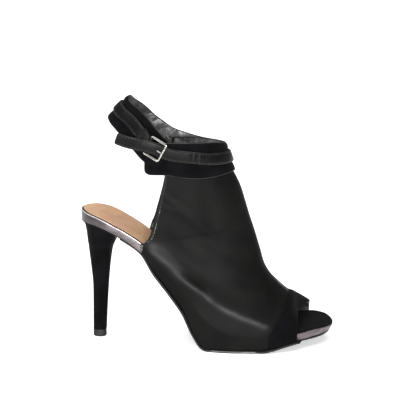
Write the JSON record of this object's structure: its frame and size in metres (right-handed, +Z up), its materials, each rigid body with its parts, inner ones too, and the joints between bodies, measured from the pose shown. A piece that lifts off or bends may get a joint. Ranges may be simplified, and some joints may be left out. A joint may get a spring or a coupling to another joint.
{
  "type": "high heel sandal",
  "caption": "Black peep toe platform sandal with open heel, stiletto heel, covered front and a wide ankle cuff closed by a buckled belt.",
  "frame": {"origin": "middle of the flat spot under the ball of the shoe, on the floor", "axes": "+X to the toe, -Y to the lateral side, +Z up"},
  "size_m": [0.2121, 0.0843, 0.2079],
  "materials": {
    "black_leather": "smooth black leather, soft gloss",
    "black_suede": "matte black suede nap",
    "sole_rubber": "black, satin, pale line along the edge",
    "pewter_leather": "metallic pewter leather",
    "tan_leather": "smooth tan lining leather",
    "nickel": "polished nickel"
  },
  "bodies": {
    "root": {"outsole": "sole_rubber", "platform": "black_suede", "footbed": "pewter_leather", "heel_sock": "tan_leather", "toe_sock": "black_suede", "heel": "black_suede", "heel_tip": "sole_rubber", "upper": "black_leather", "toe_band": "black_suede", "cuff": "black_suede", "belt": "black_leather", "belt_keeper": "black_leather", "buckle_frame": "nickel", "buckle_prong": "nickel"}
  },
  "joints": []
}
